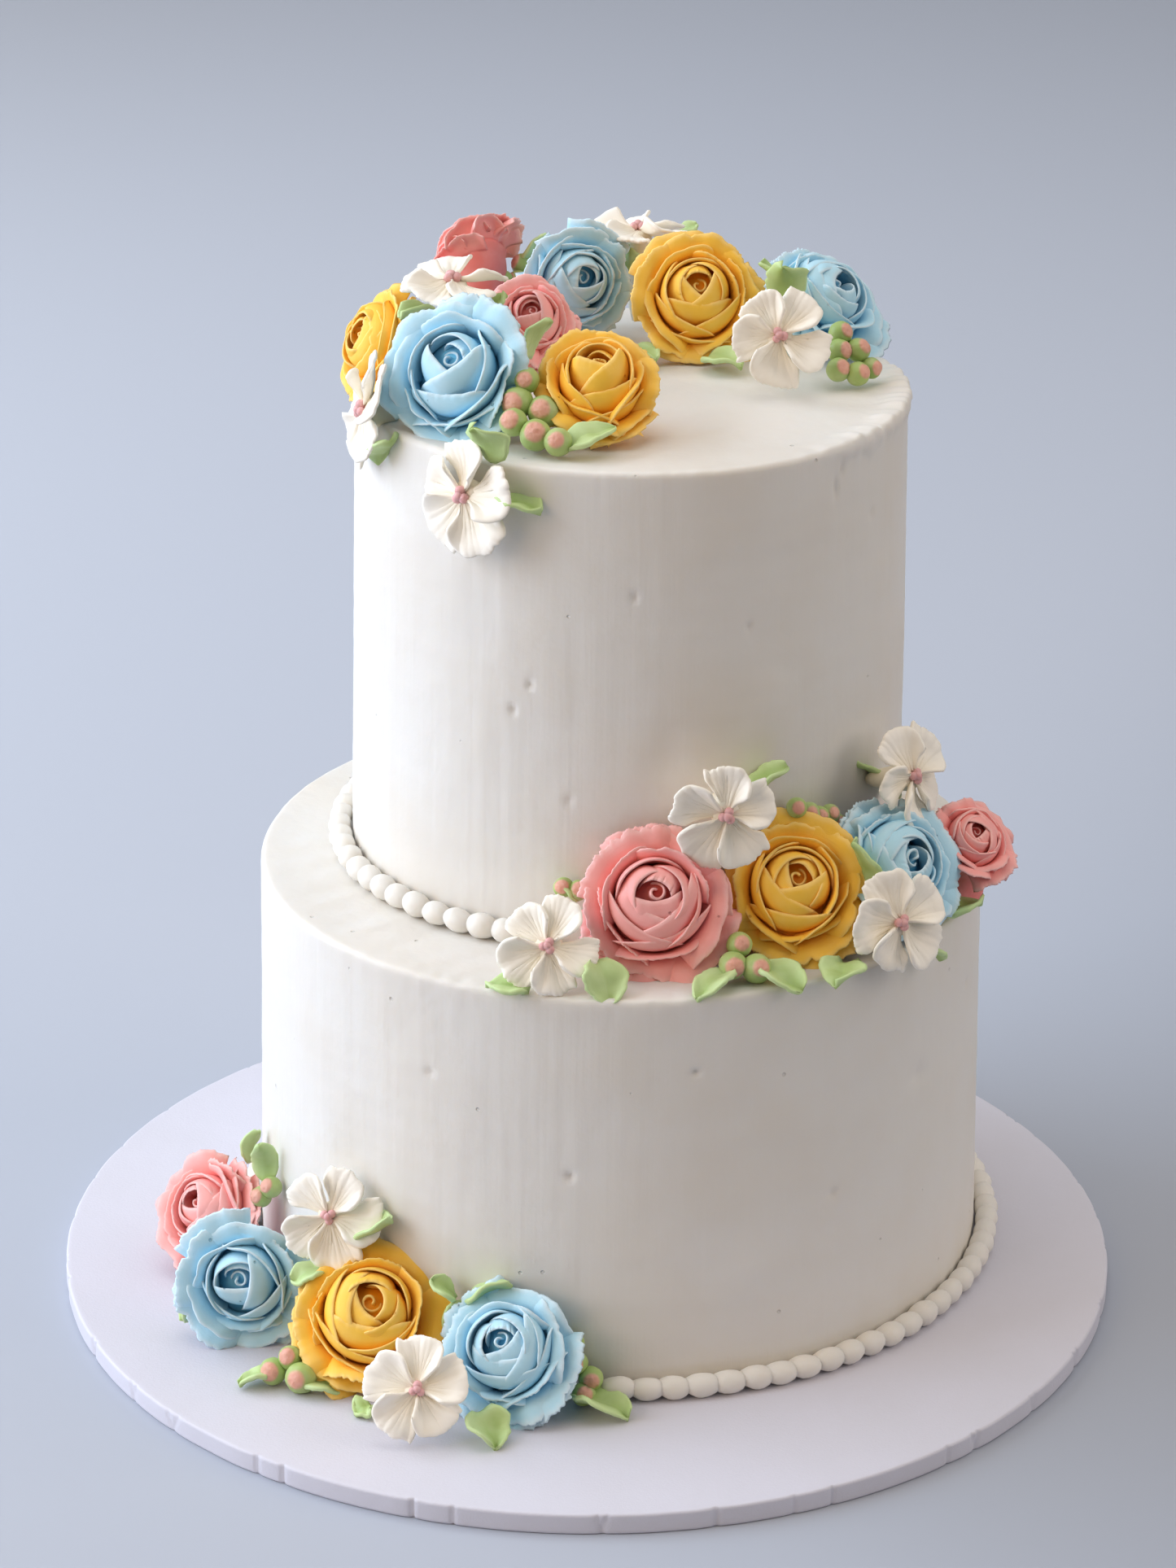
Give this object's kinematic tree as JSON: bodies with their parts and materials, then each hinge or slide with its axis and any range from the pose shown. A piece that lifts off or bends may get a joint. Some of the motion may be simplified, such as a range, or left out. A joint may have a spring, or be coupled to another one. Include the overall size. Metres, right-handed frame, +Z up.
{
  "type": "tiered wedding cake",
  "caption": "Round two-tier buttercream wedding cake on a round board, with pearl borders and sprays of piped roses, blossoms, berries and leaves.",
  "frame": {"origin": "middle of the board's underside", "axes": "+Z up, -Y towards the front, where the sprays show, +X to the right seen from the front"},
  "size_m": [0.3048, 0.3048, 0.2942],
  "materials": {
    "icing": "satin buttercream",
    "board_paper": "satin paper",
    "petals_blue": "satin buttercream",
    "petals_yellow": "satin buttercream",
    "petals_pink": "satin buttercream",
    "blossom_cream": "satin buttercream",
    "berry_green": "satin buttercream",
    "leaf_green": "satin buttercream"
  },
  "bodies": {
    "root": {"board": "board_paper", "tier_lower": "icing", "tier_upper": "icing", "pearls_lower": "icing", "pearls_upper": "icing", "rose_top_blue_front": "petals_blue", "rose_top_yellow_bud": "petals_yellow", "rose_top_yellow_left": "petals_yellow", "rose_top_pink_back": "petals_pink", "rose_top_blue_back": "petals_blue", "rose_top_pink_low": "petals_pink", "rose_top_yellow_right": "petals_yellow", "rose_top_blue_right": "petals_blue", "rose_ledge_pink": "petals_pink", "rose_ledge_yellow": "petals_yellow", "rose_ledge_blue": "petals_blue", "rose_ledge_pink_small": "petals_pink", "rose_board_pink": "petals_pink", "rose_board_blue": "petals_blue", "rose_board_yellow": "petals_yellow", "rose_board_blue_right": "petals_blue", "blossom_top_flat": "blossom_cream", "blossom_top_edge": "blossom_cream", "blossom_top_side": "blossom_cream", "blossom_top_back": "blossom_cream", "blossom_top_right": "blossom_cream", "blossom_ledge_left": "blossom_cream", "blossom_ledge_high": "blossom_cream", "blossom_ledge_right": "blossom_cream", "blossom_ledge_back": "blossom_cream", "blossom_board_high": "blossom_cream", "blossom_board_front": "blossom_cream", "berries_top_front": "berry_green", "berries_top_right": "berry_green", "berries_top_back": "berry_green", "berries_ledge_front": "berry_green", "berries_ledge_behind": "berry_green", "berries_ledge_left": "berry_green", "berries_board_left": "berry_green", "berries_board_front": "berry_green", "berries_board_right": "berry_green", "leaf_top_left": "leaf_green", "leaf_top_rim": "leaf_green", "leaf_top_front": "leaf_green", "leaf_top_side": "leaf_green", "leaf_top_blue": "leaf_green", "leaf_top_tall": "leaf_green", "leaf_top_low": "leaf_green", "leaf_top_right": "leaf_green", "leaf_ledge_left": "leaf_green", "leaf_ledge_front": "leaf_green", "leaf_ledge_right": "leaf_green", "leaf_ledge_high": "leaf_green", "leaf_ledge_back": "leaf_green", "leaf_ledge_tall": "leaf_green", "leaf_ledge_end": "leaf_green", "leaf_board_left": "leaf_green", "leaf_board_high": "leaf_green", "leaf_board_wall": "leaf_green", "leaf_board_front": "leaf_green"}
  },
  "joints": []
}
